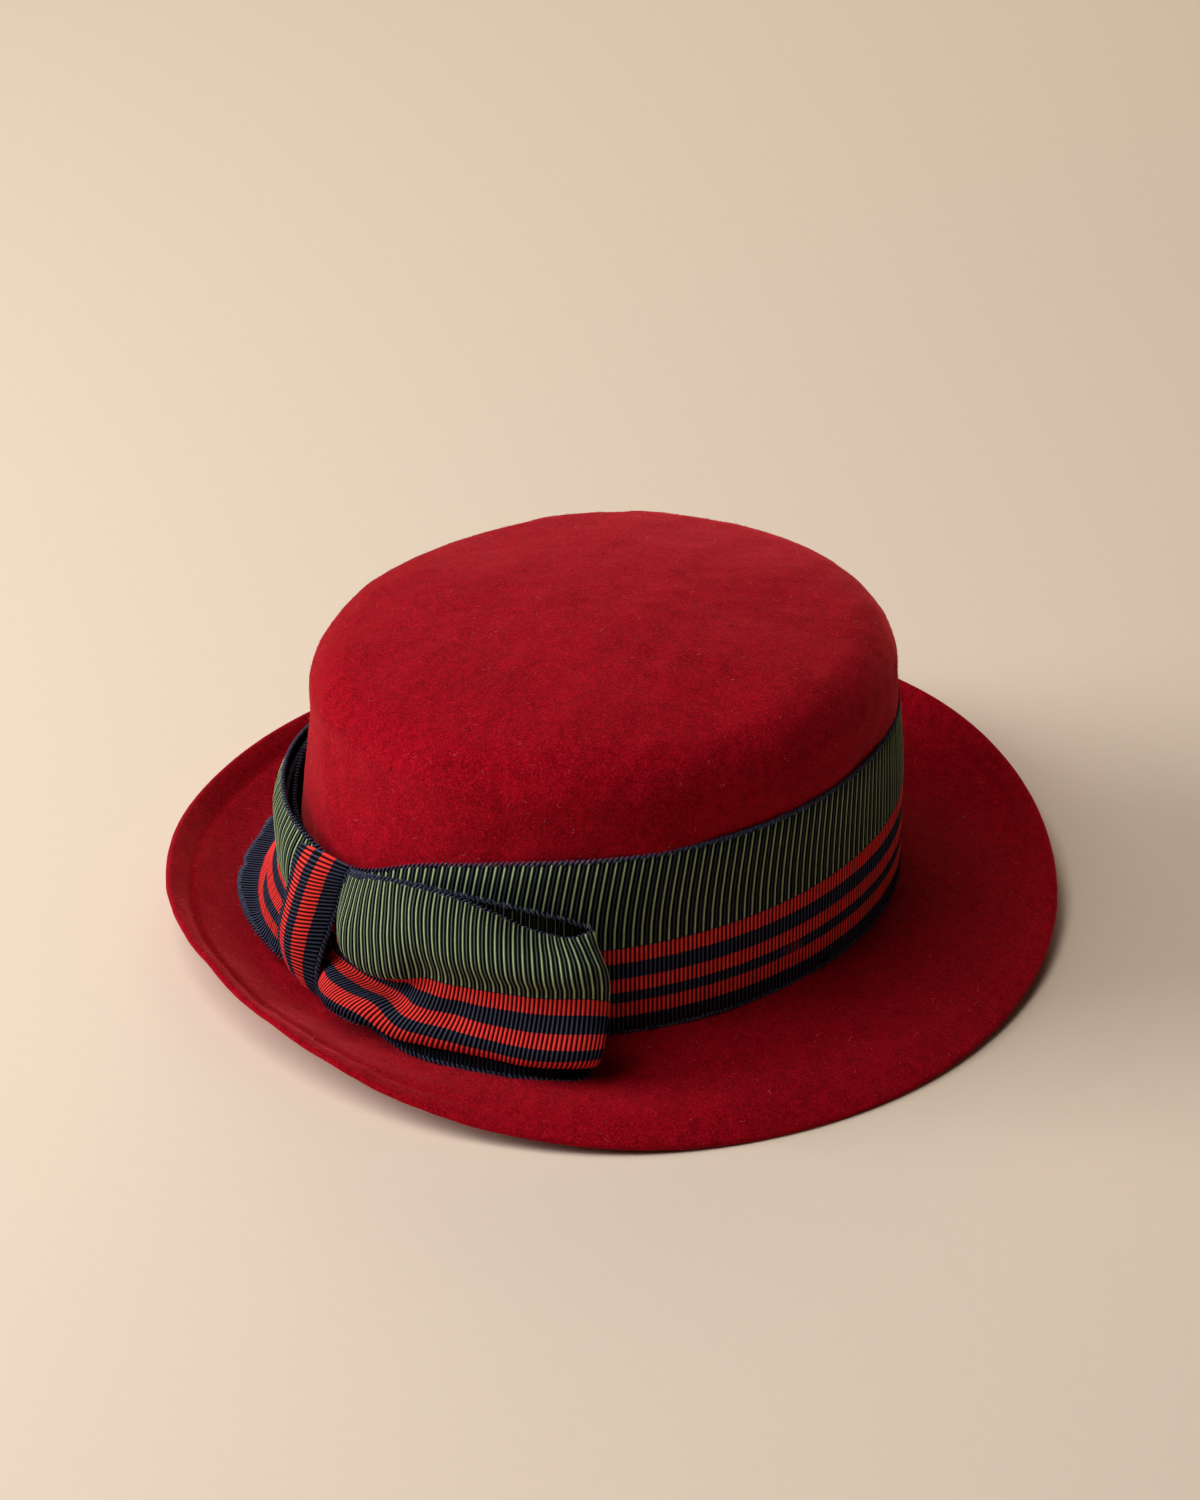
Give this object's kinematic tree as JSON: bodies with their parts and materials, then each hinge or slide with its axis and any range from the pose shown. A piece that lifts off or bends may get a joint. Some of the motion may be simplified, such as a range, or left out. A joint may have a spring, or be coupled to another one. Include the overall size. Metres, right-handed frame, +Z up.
{
  "type": "breton hat",
  "caption": "Felt hat with a low rounded crown, a brim that turns up at both ends, a striped grosgrain band and a flat bow at the back.",
  "frame": {"origin": "on the surface the brim rests on, under the middle of the hat's box", "axes": "+Z up through the crown, -Y towards the wearer's front, +Y towards the bow at the back, +X towards the wearer's left"},
  "size_m": [0.285, 0.2904, 0.1081],
  "materials": {
    "red_felt": "matt wool felt with a short nap",
    "band_ribbon": "grosgrain ribbon, green above and red and navy stripes below",
    "bow_ribbon": "grosgrain ribbon, green above and red and navy stripes below",
    "knot_ribbon": "grosgrain ribbon, red and navy stripes"
  },
  "bodies": {
    "root": {"felt_body": "red_felt", "hat_band": "band_ribbon", "bow_loop_right": "bow_ribbon", "bow_loop_left": "bow_ribbon", "bow_knot": "knot_ribbon"}
  },
  "joints": []
}
